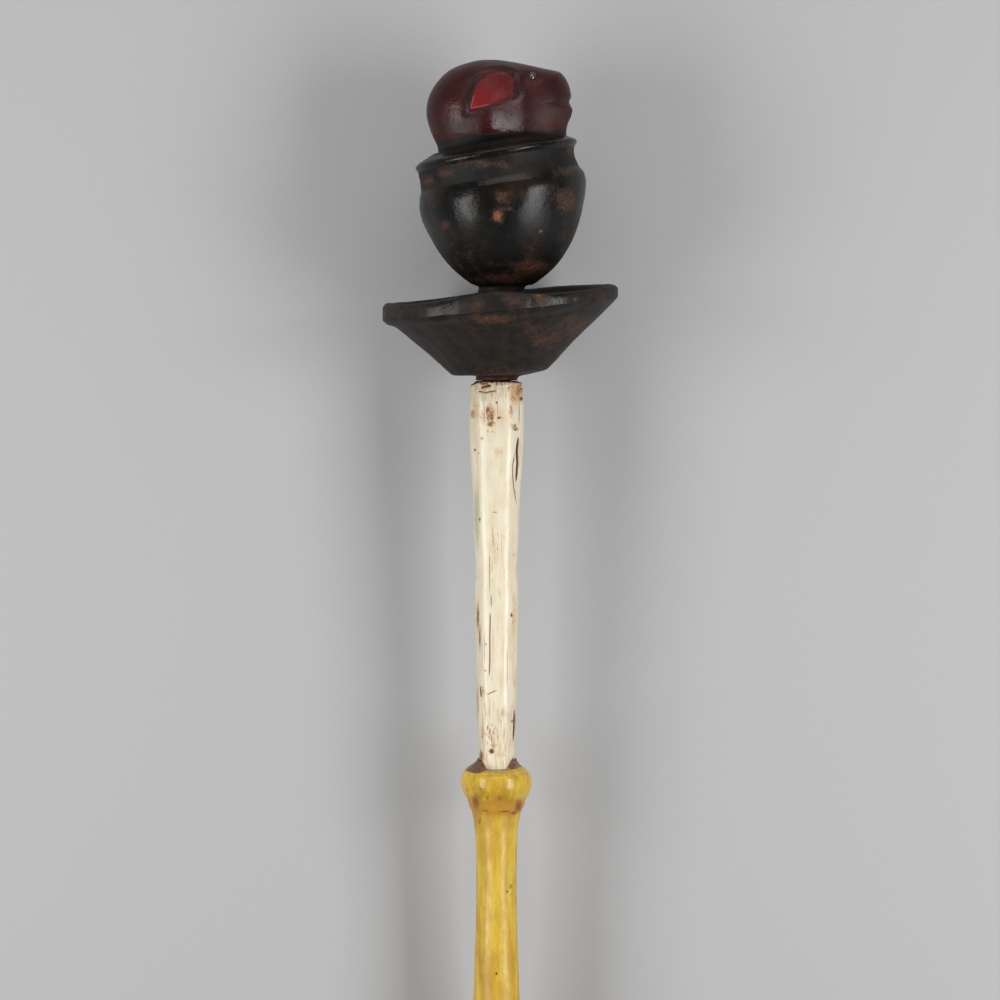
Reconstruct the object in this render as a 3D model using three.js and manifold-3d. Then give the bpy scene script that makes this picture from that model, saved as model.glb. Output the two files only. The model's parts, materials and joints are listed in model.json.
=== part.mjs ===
// Painted wooden linguist staff, lying down.
//
// Three carved lengths plug into each other: a finial (an animal's head in a black pot, which stands on a
// shallow dish), an off-white upper shaft and a yellow lower shaft.
//
// Everything is first modelled in the staff's own frame, in millimetres: Y runs along the staff from the foot
// (0) to the top of the head, X points to the muzzle's side, and Z is the side that faces up when the staff
// lies. The staff lies on the dish's rim and on its foot, which both have a small flat spot.

import * as THREE from 'three';
import { mergeVertices } from 'three/addons/utils/BufferGeometryUtils.js';
import Module from 'manifold-3d';

const wasm = await Module();
wasm.setup();

const { degToRad, smoothstep } = THREE.MathUtils;

// Heights along the staff, measured from the foot
const HEAD_Y = 1466.3;
const POT_COLLAR_Y = 1444.6;
const POT_LIP_Y = 1438.9;
const POT_NECK_Y = 1428.4;
const SHOULDER_Y = 1418;
const POT_WIDEST_Y = 1412.8;
const POT_UPRIGHT_Y = 1378;
const POT_BASE_Y = 1354.2;
const DISH_RIM_Y = 1347.7;
const DISH_BAND_Y = 1339.8;
const DISH_FLOOR_Y = 1322.5;
const DISH_CORNER_Y = 1298.6;
const DISH_BASE_Y = 1294.6;
const NECK_END_Y = 1291.8;
const COLLAR_TOP_Y = 1039;

// Radii
const NECK_RADIUS = 13.6;
const DISH_RADIUS = 76.4;
const DISH_CORNER_RADIUS = 32.6;
const STUB_RADIUS = 15;
const POT_BASE_RADIUS = 20.2;
const POT_RADIUS = 54;
const SHOULDER_RADIUS = 53.2;
const POT_NECK_RADIUS = 50;
const POT_LIP_RADIUS = 52.2;
const POT_COLLAR_RADIUS = 40.5;
const FOOT_RADIUS = 11;

// The pot's body narrows downwards by a rounded law: the depth at which it would close, and two exponents
const POT_BODY_DEPTH = 65;
const POT_BODY_POWER = 1.76;
const POT_BODY_ROOT = 0.55;
const POT_BODY_STEPS = 8;

// The turned forms lean: the pot's lip and the dish rise towards the muzzle's side, and the dish also nods
const POT_LEAN = Math.tan(degToRad(9.4));
const DISH_LEAN = Math.tan(degToRad(4.7));
const DISH_NOD = Math.tan(degToRad(2.2));
const BAND_DROP = 3.2;
const RIM_DIP = 3;

// The rim swells on the side that faces up: how high, where its middle is and how wide it is
const RIM_SWELL = 5;
const RIM_SWELL_X = -7;
const RIM_SWELL_WIDTH = 27;

// Sideways places of the carved forms, from the shafts' centre line
const DISH_X = 2.6;
const POT_X = 3.9;
const POT_LIP_X = -0.3;
const HEAD_X = 3.6;

// The head: half its width at the temples, where they are, how far it steps in between the cheek and the
// muzzle, and how it narrows to the back and to the nose
const TEMPLE_HALF_WIDTH = 35;
const TEMPLE_X = -8;
const CHEEK_X = -14;
const MUZZLE_X = 16;
const MUZZLE_STEP = 8;
const BACK_NARROWING = 0.0015;
const MUZZLE_NARROWING = 0.0045;
const HEAD_ROUNDNESS = 0.8;
const HEAD_RINGS = 26;
const RING_ANGLE = Math.PI / HEAD_RINGS;
const CHEEK_ELLIPSE = [45, 36];
const MELT_START = 0.5;
const SKULL_STEPS = 26;
const MOUTH_Y = 5.2;
const MOUTH_DEPTH = 1.6;
const MOUTH_INNER_END = 0.5;
const MOUTH_FADE = 0.15;
const EYE_CENTRE = [19.6, 21.1];
const EYE_RADIUS = 2.3;
const EAR_CENTRE = [-5.5, 12];
const EAR_RIM_GROWTH = 1.14;
const EAR_RIM_HEIGHT = 1.3;
const EAR_HOLLOW = 1.8;

// Joints between the lengths; a socket stays round, only what is wider is planed
const TENON_RADIUS = 9;
const TENON_LENGTH = 25;
const PLUG_RADIUS = 10.6;
const PLUG_LENGTH = 28;
const FIT_GAP = 0.3;
const END_GAP = 1;
const SOCKET_RADIUS = PLUG_RADIUS + FIT_GAP;

// The shafts are planed with soft facets
const FACET_COUNT = 8;
const FACET_SHARE = 0.6;
const FACET_TURN = degToRad(22.5);

// Flat spots that the staff lies on
const RIM_FLAT_DEPTH = 0.9;
const FOOT_FLAT_DEPTH = 1.2;

// Fineness of the turned surfaces, and how near two corners have to be to become one
const FINIAL_SEGMENTS = 44;
const SHAFT_SEGMENTS = 32;
const WELD_DISTANCE = 1e-4;

// Each pair is a height along the shaft and the radius there
const UPPER_SHAFT_RADII = [
  [1289.5, 18.1], [1266, 18.6], [1240, 17.7], [1218, 16.2], [1194, 15.5], [1170, 14.3],
  [1151, 14.8], [1126, 14.4], [1093, 13.8], [1071, 13.2], [1056, 12.4], [COLLAR_TOP_Y + 1, 12.2],
];
const COLLAR_RADII = [
  [COLLAR_TOP_Y - 0.3, 19.4], [1035, 23.5], [1030.7, 24.2], [1026.8, 23.8], [1022.9, 22.3], [1018.5, 19.9],
  [1012.5, 18], [1010.5, 16.7],
];
const WAIST_RADII = [[999.5, 14.8], [986, 14.1], [960, 13.8], [933, 14.4], [906, 15.3], [890, 15.9]];
const KNOP_RADII = [[868, 17.8], [855, 20.8], [846, 21.6], [836, 20], [824, 16.6], [806, 14.6]];
const POLE_RADII = [[560, 13.2], [280, 12.2], [1.5, FOOT_RADIUS]];

const wood = (color, roughness) => new THREE.MeshStandardMaterial({ color, roughness, metalness: 0 });
const BLACK_PAINT = wood(0x1c1917, 0.45);
const WHITE_PAINT = wood(0xe6dcc1, 0.55);
const YELLOW_PAINT = wood(0xd3b04b, 0.5);

// Geometry helpers

const polar = ([y, radius]) => new THREE.Vector2(radius, y);

function moveVertices(geometry, move) {
  const { position } = geometry.attributes;
  const vertex = new THREE.Vector3();
  for (let i = 0; i < position.count; i += 1) {
    vertex.fromBufferAttribute(position, i);
    move(vertex, i);
    position.setXYZ(i, vertex.x, vertex.y, vertex.z);
  }
  return geometry;
}

function signedVolume(corners, faces) {
  const corner = (i) => new THREE.Vector3().fromArray(corners, 3 * i);
  let total = 0;
  for (let f = 0; f < faces.length; f += 3) {
    total += corner(faces[f]).dot(corner(faces[f + 1]).cross(corner(faces[f + 2])));
  }
  return total / 6;
}

function toSolid(geometry) {
  const bare = geometry.clone();
  bare.deleteAttribute('normal');
  bare.deleteAttribute('uv');
  const merged = mergeVertices(bare, WELD_DISTANCE);
  const index = Array.from(merged.index.array);
  const faces = [];
  for (let f = 0; f < index.length; f += 3) {
    const [a, b, c] = index.slice(f, f + 3);
    if (a !== b && b !== c && c !== a) {
      faces.push(a, b, c);
    }
  }
  const corners = Float32Array.from(merged.attributes.position.array);
  if (signedVolume(corners, faces) < 0) {
    faces.reverse();
  }
  const mesh = new wasm.Mesh({ numProp: 3, vertProperties: corners, triVerts: Uint32Array.from(faces) });
  return new wasm.Manifold(mesh);
}

function toMesh(solid, name, material) {
  const { vertProperties, triVerts } = solid.getMesh();
  const geometry = new THREE.BufferGeometry();
  geometry.setAttribute('position', new THREE.BufferAttribute(Float32Array.from(vertProperties), 3));
  geometry.setIndex(Array.from(triVerts));
  geometry.computeVertexNormals();
  const mesh = new THREE.Mesh(geometry, material);
  mesh.name = name;
  return mesh;
}

// The finial's turned body: tenon, neck, dish, stub and pot in one profile, then leaned

function dishProfile() {
  const tenonEnd = NECK_END_Y - TENON_LENGTH;
  return [
    [tenonEnd, 0], [tenonEnd, TENON_RADIUS - 1], [tenonEnd + 1.5, TENON_RADIUS], [NECK_END_Y, TENON_RADIUS],
    [NECK_END_Y, NECK_RADIUS], [DISH_BASE_Y - 0.4, NECK_RADIUS],
    [DISH_BASE_Y + 0.3, NECK_RADIUS + 2], [DISH_CORNER_Y - 1.4, DISH_CORNER_RADIUS - 2],
    [DISH_CORNER_Y, DISH_CORNER_RADIUS], [1316, 50.2], [1334.9, 71.2], [DISH_BAND_Y - 1, DISH_RADIUS - 1.2],
    [DISH_BAND_Y, DISH_RADIUS], [DISH_RIM_Y - 2, DISH_RADIUS - 0.1], [DISH_RIM_Y - 0.3, DISH_RADIUS - 1.8],
    [DISH_RIM_Y, DISH_RADIUS - 4], [DISH_RIM_Y - 1, DISH_RADIUS - 7.6],
    [1339.5, 62], [1331.5, 52], [1325.6, 41], [DISH_FLOOR_Y, 28], [DISH_FLOOR_Y + 0.6, STUB_RADIUS + 4],
    [DISH_FLOOR_Y + 4, STUB_RADIUS + 0.4],
  ];
}

function potProfile() {
  const body = [];
  for (let step = 1; step < POT_BODY_STEPS; step += 1) {
    const y = POT_BASE_Y + ((POT_WIDEST_Y - POT_BASE_Y) * step) / POT_BODY_STEPS;
    const depth = (POT_WIDEST_Y - y) / POT_BODY_DEPTH;
    body.push([y, POT_RADIUS * (1 - depth ** POT_BODY_POWER) ** POT_BODY_ROOT]);
  }
  return [
    [POT_BASE_Y - 1.4, STUB_RADIUS], [POT_BASE_Y, POT_BASE_RADIUS], ...body,
    [POT_WIDEST_Y, POT_RADIUS], [SHOULDER_Y, SHOULDER_RADIUS],
    [SHOULDER_Y + 4, POT_NECK_RADIUS + 1], [POT_NECK_Y, POT_NECK_RADIUS],
    [POT_LIP_Y - 4.6, POT_NECK_RADIUS + 0.3], [POT_LIP_Y - 3.2, POT_LIP_RADIUS - 0.8],
    [POT_LIP_Y - 1.8, POT_LIP_RADIUS], [POT_LIP_Y, POT_LIP_RADIUS - 0.4],
    [POT_LIP_Y + 1.2, POT_LIP_RADIUS - 2.4], [POT_COLLAR_Y, POT_COLLAR_RADIUS],
    [POT_COLLAR_Y + 1.5, POT_COLLAR_RADIUS * 0.7], [POT_COLLAR_Y + 1.5, 0],
  ];
}

function leanFinial(vertex) {
  const { x, y, z } = vertex;
  const radius = Math.hypot(x, z);
  const aboveNeck = smoothstep(y, DISH_BASE_Y - 1, DISH_CORNER_Y);
  const dish = aboveNeck * (1 - smoothstep(y, DISH_RIM_Y + 1, POT_BASE_Y));
  const pot = smoothstep(y, POT_UPRIGHT_Y, SHOULDER_Y);
  vertex.y += x * (dish * DISH_LEAN + pot * POT_LEAN) - z * dish * DISH_NOD;
  // The rim dips at the back left, and its band is deeper on the side away from the muzzle
  vertex.y -= dish * RIM_DIP * (Math.max(-x, 0) * Math.max(-z, 0)) / DISH_RADIUS ** 2;
  const onBandEdge = radius > POT_RADIUS + 10 && y < DISH_BAND_Y + 1;
  if (onBandEdge && x < 0) {
    vertex.y -= BAND_DROP * (x / DISH_RADIUS) ** 2;
  }
  const onRim = smoothstep(radius, POT_RADIUS, POT_RADIUS + 12) * smoothstep(y, DISH_BAND_Y, DISH_RIM_Y - 1);
  const facingUp = smoothstep(z, STUB_RADIUS, POT_RADIUS + 6);
  vertex.y += dish * RIM_SWELL * onRim * facingUp * Math.exp(-(((x - RIM_SWELL_X) / RIM_SWELL_WIDTH) ** 2));
  vertex.x += DISH_X * smoothstep(y, NECK_END_Y, DISH_CORNER_Y)
    + (POT_X - DISH_X) * smoothstep(y, DISH_RIM_Y, POT_BASE_Y)
    + (POT_LIP_X - POT_X) * smoothstep(y, POT_WIDEST_Y, POT_LIP_Y - 4);
}

function turnedBody() {
  const profile = [...dishProfile(), ...potProfile()].map(polar);
  return toSolid(moveVertices(new THREE.LatheGeometry(profile, FINIAL_SEGMENTS), leanFinial));
}

// The head's outline seen from the side, around the head's centre: a splined skull, then straight cuts

function headOutline() {
  const asVector = ([x, y]) => new THREE.Vector2(x, y);
  const skull = new THREE.SplineCurve([
    [42, -21], [38, -33], [20, -40], [-4, -42], [-27, -39.5], [-39.5, -30.5], [-42.2, -22.5], [-46.4, -13.2],
    [-48.8, -0.5], [-45.2, 13.2], [-34.5, 25.2], [-18, 31.4], [-3, 32.4], [7.8, 30.8],
  ].map(asVector)).getPoints(SKULL_STEPS);
  const nose = [[18, 28.6], [28, 26.5], [37.7, 24.4]];
  const muzzle = [[41.4, 19.6], [43.6, 14.4], [44.9, 9]];
  const mouth = [[43.4, MOUTH_Y]];
  const jaw = [[45.9, 0.4], [44.8, -4], [42.6, -8.5], [41.5, -13.6]];
  return [...skull, ...[...nose, ...muzzle, ...mouth, ...jaw].map(asVector)];
}

const OUTLINE = headOutline();
const MOUTH_INDEX = OUTLINE.findIndex(({ x, y }) => x > 0 && y === MOUTH_Y);

function halfWidth(x) {
  const back = BACK_NARROWING * Math.min(x - TEMPLE_X, 0) ** 2;
  const front = MUZZLE_NARROWING * Math.max(x - MUZZLE_X, 0) ** 2;
  return TEMPLE_HALF_WIDTH - back - front - MUZZLE_STEP * smoothstep(x, CHEEK_X, MUZZLE_X);
}

// How far out of the middle plane the head's side lies, at a share of the way out to its outline
function sideDepth(x, reach) {
  const sine = Math.min(1, reach) ** (1 / HEAD_ROUNDNESS);
  return halfWidth(x) * (1 - sine * sine) ** (HEAD_ROUNDNESS / 2);
}

// The share of the way out to the outline at a point beside the head's centre
function reachAt(x, y) {
  const ray = new THREE.Vector2(x, y);
  for (let i = 0; i < OUTLINE.length; i += 1) {
    const a = OUTLINE[i];
    const edge = OUTLINE[(i + 1) % OUTLINE.length].clone().sub(a);
    const across = ray.cross(edge);
    const share = a.cross(edge) / across;
    const place = a.cross(ray) / across;
    if (share > 0 && place >= 0 && place < 1) {
      return 1 / share;
    }
  }
  return 1;
}

// Towards the middle of the head's side the outline's corners melt into an ellipse
function roundedIn(edge, reach) {
  const [a, b] = CHEEK_ELLIPSE;
  const round = 1 / Math.hypot(edge.x / a, edge.y / b);
  return edge.clone().multiplyScalar(THREE.MathUtils.lerp(round, 1, smoothstep(reach, MELT_START, 1)));
}

function headSolid(grow) {
  const ball = new THREE.SphereGeometry(1, OUTLINE.length, HEAD_RINGS);
  const { uv } = ball.attributes;
  moveVertices(ball, (vertex, i) => {
    const step = Math.round((uv.getX(i) + 1) * OUTLINE.length) % OUTLINE.length;
    const turn = Math.PI * (1 - uv.getY(i));
    const reach = Math.sin(turn) ** HEAD_ROUNDNESS;
    const edge = roundedIn(OUTLINE[step], reach);
    const scale = reach * (1 + grow / TEMPLE_HALF_WIDTH);
    let depth = sideDepth(edge.x * reach, reach) + grow;
    if (step === MOUTH_INDEX) {
      depth -= MOUTH_DEPTH * smoothstep(reach, MOUTH_INNER_END, MOUTH_INNER_END + MOUTH_FADE);
    }
    const side = Math.abs(turn - Math.PI / 2) < RING_ANGLE / 2 ? 0 : Math.sign(Math.cos(turn));
    vertex.set(edge.x * scale, edge.y * scale, side * Math.max(depth, 0));
  });
  ball.translate(HEAD_X, HEAD_Y, 0);
  return toSolid(ball);
}

// The ear is a leaf with its tip low at the back: a raised rim around a hollow

function earLeaf(growth) {
  const [cx, cy] = EAR_CENTRE;
  const place = (x, y) => [cx + (x - cx) * growth, cy + (y - cy) * growth];
  const leaf = new THREE.Shape();
  leaf.moveTo(...place(-20.8, -0.7));
  leaf.bezierCurveTo(...place(-18.5, 9), ...place(-17.5, 22.5), ...place(-2, 24.7));
  leaf.quadraticCurveTo(...place(5.5, 24.9), ...place(6.8, 21.5));
  leaf.quadraticCurveTo(...place(7.6, 15), ...place(6.8, 9.2));
  leaf.bezierCurveTo(...place(2, 5), ...place(-6, 0.6), ...place(-20.8, -0.7));
  return leaf;
}

function earPrism(growth, side) {
  const options = { depth: TEMPLE_HALF_WIDTH, bevelEnabled: false, curveSegments: 5 };
  const prism = new THREE.ExtrudeGeometry(earLeaf(growth), options);
  prism.translate(HEAD_X, HEAD_Y, TEMPLE_HALF_WIDTH / 3);
  if (side < 0) {
    prism.scale(1, 1, -1);
  }
  return toSolid(prism);
}

function eyeBoss(side) {
  const [x, y] = EYE_CENTRE;
  const boss = new THREE.SphereGeometry(EYE_RADIUS, 12, 8);
  boss.translate(HEAD_X + x, HEAD_Y + y, side * sideDepth(x, reachAt(x, y)));
  return toSolid(boss);
}

function carvedHead() {
  const proud = headSolid(EAR_RIM_HEIGHT);
  const sunk = headSolid(-EAR_HOLLOW);
  let head = headSolid(0);
  for (const side of [1, -1]) {
    const hollow = earPrism(1, side);
    const rim = earPrism(EAR_RIM_GROWTH, side).intersect(proud);
    head = head.add(rim).subtract(hollow.subtract(sunk)).add(eyeBoss(side));
  }
  return head;
}

// The shafts

function planed(vertex) {
  const radius = Math.hypot(vertex.x, vertex.z);
  if (radius < SOCKET_RADIUS + WELD_DISTANCE) {
    return;
  }
  const facet = (2 * Math.PI) / FACET_COUNT;
  const angle = Math.atan2(vertex.z, vertex.x) + FACET_TURN + 2 * Math.PI;
  const polygon = Math.cos(facet / 2) / Math.cos((angle % facet) - facet / 2);
  const scale = 1 - FACET_SHARE + FACET_SHARE * polygon;
  vertex.x *= scale;
  vertex.z *= scale;
}

function shaftSolid(profile) {
  const lathe = new THREE.LatheGeometry(profile.map(polar), SHAFT_SEGMENTS);
  return toSolid(moveVertices(lathe, planed));
}

function upperShaft() {
  const top = NECK_END_Y - FIT_GAP;
  const socketRadius = TENON_RADIUS + FIT_GAP;
  const socketFloor = NECK_END_Y - TENON_LENGTH - END_GAP;
  const plugEnd = COLLAR_TOP_Y - PLUG_LENGTH;
  return shaftSolid([
    [socketFloor, 0], [socketFloor, socketRadius], [top, socketRadius], [top, UPPER_SHAFT_RADII[0][1] - 1],
    ...UPPER_SHAFT_RADII,
    [COLLAR_TOP_Y + FIT_GAP, PLUG_RADIUS],
    [plugEnd + 1, PLUG_RADIUS], [plugEnd, PLUG_RADIUS - 1], [plugEnd, 0],
  ]);
}

function lowerShaft() {
  const socketFloor = COLLAR_TOP_Y - PLUG_LENGTH - END_GAP;
  return shaftSolid([
    [socketFloor, 0], [socketFloor, SOCKET_RADIUS], [COLLAR_TOP_Y, SOCKET_RADIUS],
    ...COLLAR_RADII, ...WAIST_RADII, ...KNOP_RADII, ...POLE_RADII,
    [0, FOOT_RADIUS - 1], [0, 0],
  ]);
}

// The lying pose: the floor touches the dish's rim and the foot

const rimContact = {
  y: (DISH_BAND_Y + DISH_RIM_Y) / 2 + DISH_RADIUS * DISH_NOD,
  depth: DISH_RADIUS - RIM_FLAT_DEPTH,
};
const footContact = { y: 0, depth: FOOT_RADIUS - FOOT_FLAT_DEPTH };
const restSlope = Math.atan((rimContact.depth - footContact.depth) / (rimContact.y - footContact.y));

function floorBlock() {
  const block = new THREE.BoxGeometry(4 * DISH_RADIUS, 2 * HEAD_Y, DISH_RADIUS);
  block.translate(0, HEAD_Y / 2, -DISH_RADIUS / 2);
  block.rotateX(-restSlope);
  block.translate(0, footContact.y, -footContact.depth);
  return toSolid(block);
}

const floor = floorBlock();
const staff = new THREE.Group();
staff.name = 'linguist_staff';
staff.add(
  toMesh(turnedBody().add(carvedHead()).subtract(floor), 'finial', BLACK_PAINT),
  toMesh(upperShaft(), 'upper_shaft', WHITE_PAINT),
  toMesh(lowerShaft().subtract(floor), 'lower_shaft', YELLOW_PAINT),
);

staff.rotation.x = restSlope;
staff.updateMatrixWorld(true);
const bounds = new THREE.Box3().setFromObject(staff, true);
const middle = bounds.getCenter(new THREE.Vector3());
staff.position.set(-middle.x, -middle.y, -bounds.min.z);

export default staff;
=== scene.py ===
"""A painted wooden linguist staff that lies on a pale floor, seen from straight above.

The shapes are worked out in millimetres in the staff's own frame: X to the muzzle's side, Y along the staff
from the foot (0) to the head, Z up when the staff lies. The frame's foot mount then puts them in place.
"""

import json
import math

import bpy
import numpy as np
from mathutils import Matrix, Vector


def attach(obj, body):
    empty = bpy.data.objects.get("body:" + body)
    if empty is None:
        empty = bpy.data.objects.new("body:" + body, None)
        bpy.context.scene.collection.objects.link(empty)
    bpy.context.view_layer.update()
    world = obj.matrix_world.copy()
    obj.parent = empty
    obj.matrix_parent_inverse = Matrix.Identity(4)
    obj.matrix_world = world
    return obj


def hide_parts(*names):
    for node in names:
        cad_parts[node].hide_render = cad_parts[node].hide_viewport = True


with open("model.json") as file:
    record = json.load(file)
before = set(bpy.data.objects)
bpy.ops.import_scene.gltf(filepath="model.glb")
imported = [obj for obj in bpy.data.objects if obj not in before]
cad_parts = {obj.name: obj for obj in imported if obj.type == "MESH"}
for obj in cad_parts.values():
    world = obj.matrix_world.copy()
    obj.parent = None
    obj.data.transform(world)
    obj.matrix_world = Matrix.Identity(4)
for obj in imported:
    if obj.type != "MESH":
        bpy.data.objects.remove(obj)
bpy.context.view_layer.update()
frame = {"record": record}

MM = 0.001

# Heights along the staff
HEAD_Y = 1466.3
POT_COLLAR_Y = 1444.6
POT_LIP_Y = 1438.9
POT_NECK_Y = 1428.4
SHOULDER_Y = 1418
POT_WIDEST_Y = 1412.8
POT_UPRIGHT_Y = 1378
POT_BASE_Y = 1354.2
DISH_RIM_Y = 1347.7
DISH_BAND_Y = 1339.8
DISH_FLOOR_Y = 1322.5
DISH_CORNER_Y = 1298.6
DISH_BASE_Y = 1294.6
NECK_END_Y = 1291.8
COLLAR_TOP_Y = 1039

# Radii
NECK_RADIUS = 13.6
DISH_RADIUS = 76.4
DISH_CORNER_RADIUS = 32.6
STUB_RADIUS = 15
POT_BASE_RADIUS = 20.2
POT_RADIUS = 54
SHOULDER_RADIUS = 53.2
POT_NECK_RADIUS = 50
POT_LIP_RADIUS = 52.2
POT_COLLAR_RADIUS = 40.5
FOOT_RADIUS = 11

# The pot's body narrows downwards by a rounded law
POT_BODY_DEPTH = 65
POT_BODY_POWER = 1.76
POT_BODY_ROOT = 0.55

# How the turned forms lean, and where they sit beside the shafts' centre line
POT_LEAN = math.tan(math.radians(9.4))
DISH_LEAN = math.tan(math.radians(4.7))
DISH_NOD = math.tan(math.radians(2.2))
BAND_DROP = 3.2
RIM_DIP = 3
RIM_SWELL = 5
RIM_SWELL_X = -7
RIM_SWELL_WIDTH = 27
DISH_X = 2.6
POT_X = 3.9
POT_LIP_X = -0.3
HEAD_X = 3.6

# The head
TEMPLE_HALF_WIDTH = 35
TEMPLE_X = -8
CHEEK_X = -14
MUZZLE_X = 16
MUZZLE_STEP = 8
BACK_NARROWING = 0.0015
MUZZLE_NARROWING = 0.0045
HEAD_ROUNDNESS = 0.8
CHEEK_ELLIPSE = (45, 36)
MELT_START = 0.5
EAR_CENTRE = (-5.5, 12)
EAR_HOLLOW = 1.5
EAR_RIDGE = 0.6
EYE_CENTRE = (19.5, 21.2)
EYE_RADIUS = 2.3

# Joints between the lengths
TENON_RADIUS = 9
TENON_LENGTH = 25
PLUG_RADIUS = 10.6
PLUG_LENGTH = 28
SOCKET_RADIUS = 10.9
FIT_GAP = 0.3
END_GAP = 1

# The shafts are planed with soft facets, which meet at these degrees round from the muzzle's side
FACET_SHARE = 0.46
FACET_ROUNDING = math.radians(13)
UPPER_CORNERS = (11.5, 59, 134, 181.5, 229, 276.5, 324)
LOWER_CORNERS = (27, 72, 108, 153, 198, 243, 297, 342)
UPPER_FIT = 0.972
LOWER_FIT = 0.99
RIM_DROOP = 1.9

# How many points go round each mesh, how far they crowd on the side that faces up, and the head's rings
BODY_TURNS = 232
UPPER_TURNS = 176
LOWER_TURNS = 160
BODY_CROWDING = 0.3
SHAFT_CROWDING = 0.35
NEAR_HEAD_RINGS = 84
FAR_HEAD_RINGS = 62

# The radius of the ring on which the shafts' noises are laid
RING_RADIUS = 15

# Heights and radii along the shafts; on the collar's top face, drops and radii
UPPER_SHAFT_RADII = [
    (1266, 18.6), (1240, 17.7), (1218, 16.2), (1194, 15.5), (1170, 14.3),
    (1151, 14.8), (1126, 14.4), (1093, 13.8), (1071, 13.2), (1056, 12.4), (COLLAR_TOP_Y + 1, 12.2),
]
LOWER_SHAFT_RADII = [
    (1035, 23.5), (1030.7, 24.2), (1026.8, 23.8), (1022.9, 22.3), (1018.5, 19.9), (1012.5, 18),
    (1010.5, 16.7), (999.5, 14.8), (986, 14.1), (960, 13.8), (933, 14.4), (906, 15.3), (890, 15.9),
    (868, 17.8), (855, 20.8), (846, 21.6), (836, 20), (824, 16.6), (806, 14.6),
    (560, 13.2), (280, 12.2), (1.5, FOOT_RADIUS),
]
COLLAR_TOP_FACE = [
    (0.2, SOCKET_RADIUS), (0, 11.6), (0, 12.4), (0.1, 13.4), (0.1, 15), (0.2, 16.6), (0.3, 18.2),
    (0.6, 19.4), (1.6, 20.8), (2.8, 22.2),
]


# Numbers on arrays

# Large primes and a mixing number that make every cell of a noise its own
CELL_KEYS = np.array([73856093, 19349663, 83492791])
SEED_KEY = 7919
MIX_KEY = 1274126177


def ramp(value, low, high):
    """0 below low, 1 over high and soft between them."""
    share = np.clip((value - low) / (high - low), 0, 1)
    return share * share * (3 - 2 * share)


def hump(value, middle, width):
    """1 at the middle, and softly down to 0 a few widths away."""
    return np.exp(-(((value - middle) / width) ** 2))


def noise(points, size, seed):
    """Smooth noise from -1 to 1, with features of that size; size may differ along each axis."""
    at = points / np.asarray(size, float)
    cell = np.floor(at)
    part = at - cell
    part = part * part * (3 - 2 * part)
    total = np.zeros(points.shape[:-1])
    for corner in np.ndindex(2, 2, 2):
        key = (cell.astype(np.int64) + corner) @ CELL_KEYS + seed * SEED_KEY
        key = (key ^ (key >> 13)) * MIX_KEY
        key = (key ^ (key >> 16)) & 0xFFFF
        weight = np.prod(np.where(corner, part, 1 - part), axis=-1)
        total += weight * (key / 32767.5 - 1)
    return total


def waves(points, layers, seed):
    """Noises laid over each other; a layer is its depth and its size."""
    return sum(depth * noise(points, size, seed + i) for i, (depth, size) in enumerate(layers))


def spline(points, step):
    """Points about a step apart on a smooth curve through the given ones."""
    p = np.asarray(points, float)
    p = np.vstack([2 * p[0] - p[1], p, 2 * p[-1] - p[-2]])
    made = []
    for a, b, c, d in zip(p, p[1:], p[2:], p[3:]):
        count = max(2, int(np.hypot(*(c - b)) / step))
        t = (np.arange(count) / count)[:, None]
        made.append(b + 0.5 * t * (c - a + t * (2 * a - 5 * b + 4 * c - d + t * (3 * (b - c) + d - a))))
    return np.vstack([*made, p[-2:-1]])


def spaced(points, step, closed=False):
    """The same line with its points evenly spaced."""
    p = np.vstack([points, points[:1]]) if closed else np.asarray(points, float)
    length = np.concatenate([[0], np.cumsum(np.hypot(*np.diff(p, axis=0).T))])
    count = int(round(length[-1] / step))
    at = np.linspace(0, length[-1], count + 1)
    line = np.stack([np.interp(at, length, row) for row in p.T], axis=1)
    return line[:-1] if closed else line


def softened(points, reach, closed=False):
    """An evenly spaced line whose corners are rounded over a number of points."""
    kernel = hump(np.arange(-3 * reach, 3 * reach + 1), 0, reach)
    kernel /= kernel.sum()
    carried_on = {"mode": "wrap"} if closed else {"mode": "reflect", "reflect_type": "odd"}
    p = np.pad(points, ((3 * reach, 3 * reach), (0, 0)), **carried_on)
    return np.stack([np.convolve(row, kernel, "valid") for row in p.T], axis=1)


def thinned(line, bend, shortest, longest):
    """Fewer points where a line is straight, all of them where it turns."""
    kept = [0]
    turned = walked = 0.0
    steps = np.diff(line, axis=0)
    angle = np.unwrap(np.arctan2(steps[:, 1], steps[:, 0]))
    for i in range(1, len(line) - 1):
        walked += np.hypot(*steps[i - 1])
        turned += abs(angle[i] - angle[i - 1])
        if walked >= longest or (turned > bend and walked >= shortest):
            kept.append(i)
            turned = walked = 0.0
    return line[kept + [len(line) - 1]]


def distance_to_line(x, y, line, closed=False):
    """How far each point x, y is from a line of points."""
    p = np.asarray(line, float)
    ends = np.roll(p, -1, axis=0) if closed else p[1:]
    starts = p if closed else p[:-1]
    best = np.full(np.shape(x), 1e9)
    for (ax, ay), (bx, by) in zip(starts, ends):
        ex, ey = bx - ax, by - ay
        t = np.clip(((x - ax) * ex + (y - ay) * ey) / max(ex * ex + ey * ey, 1e-12), 0, 1)
        best = np.minimum(best, np.hypot(x - ax - t * ex, y - ay - t * ey))
    return best


def inside(x, y, line):
    """Which points are inside a closed line."""
    odd = np.zeros(np.shape(x), bool)
    for (ax, ay), (bx, by) in zip(line, np.roll(line, -1, axis=0)):
        crosses = (ay > y) != (by > y)
        height = by - ay if by != ay else 1e-12
        odd ^= crosses & (x < ax + (y - ay) * (bx - ax) / height)
    return odd


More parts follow.
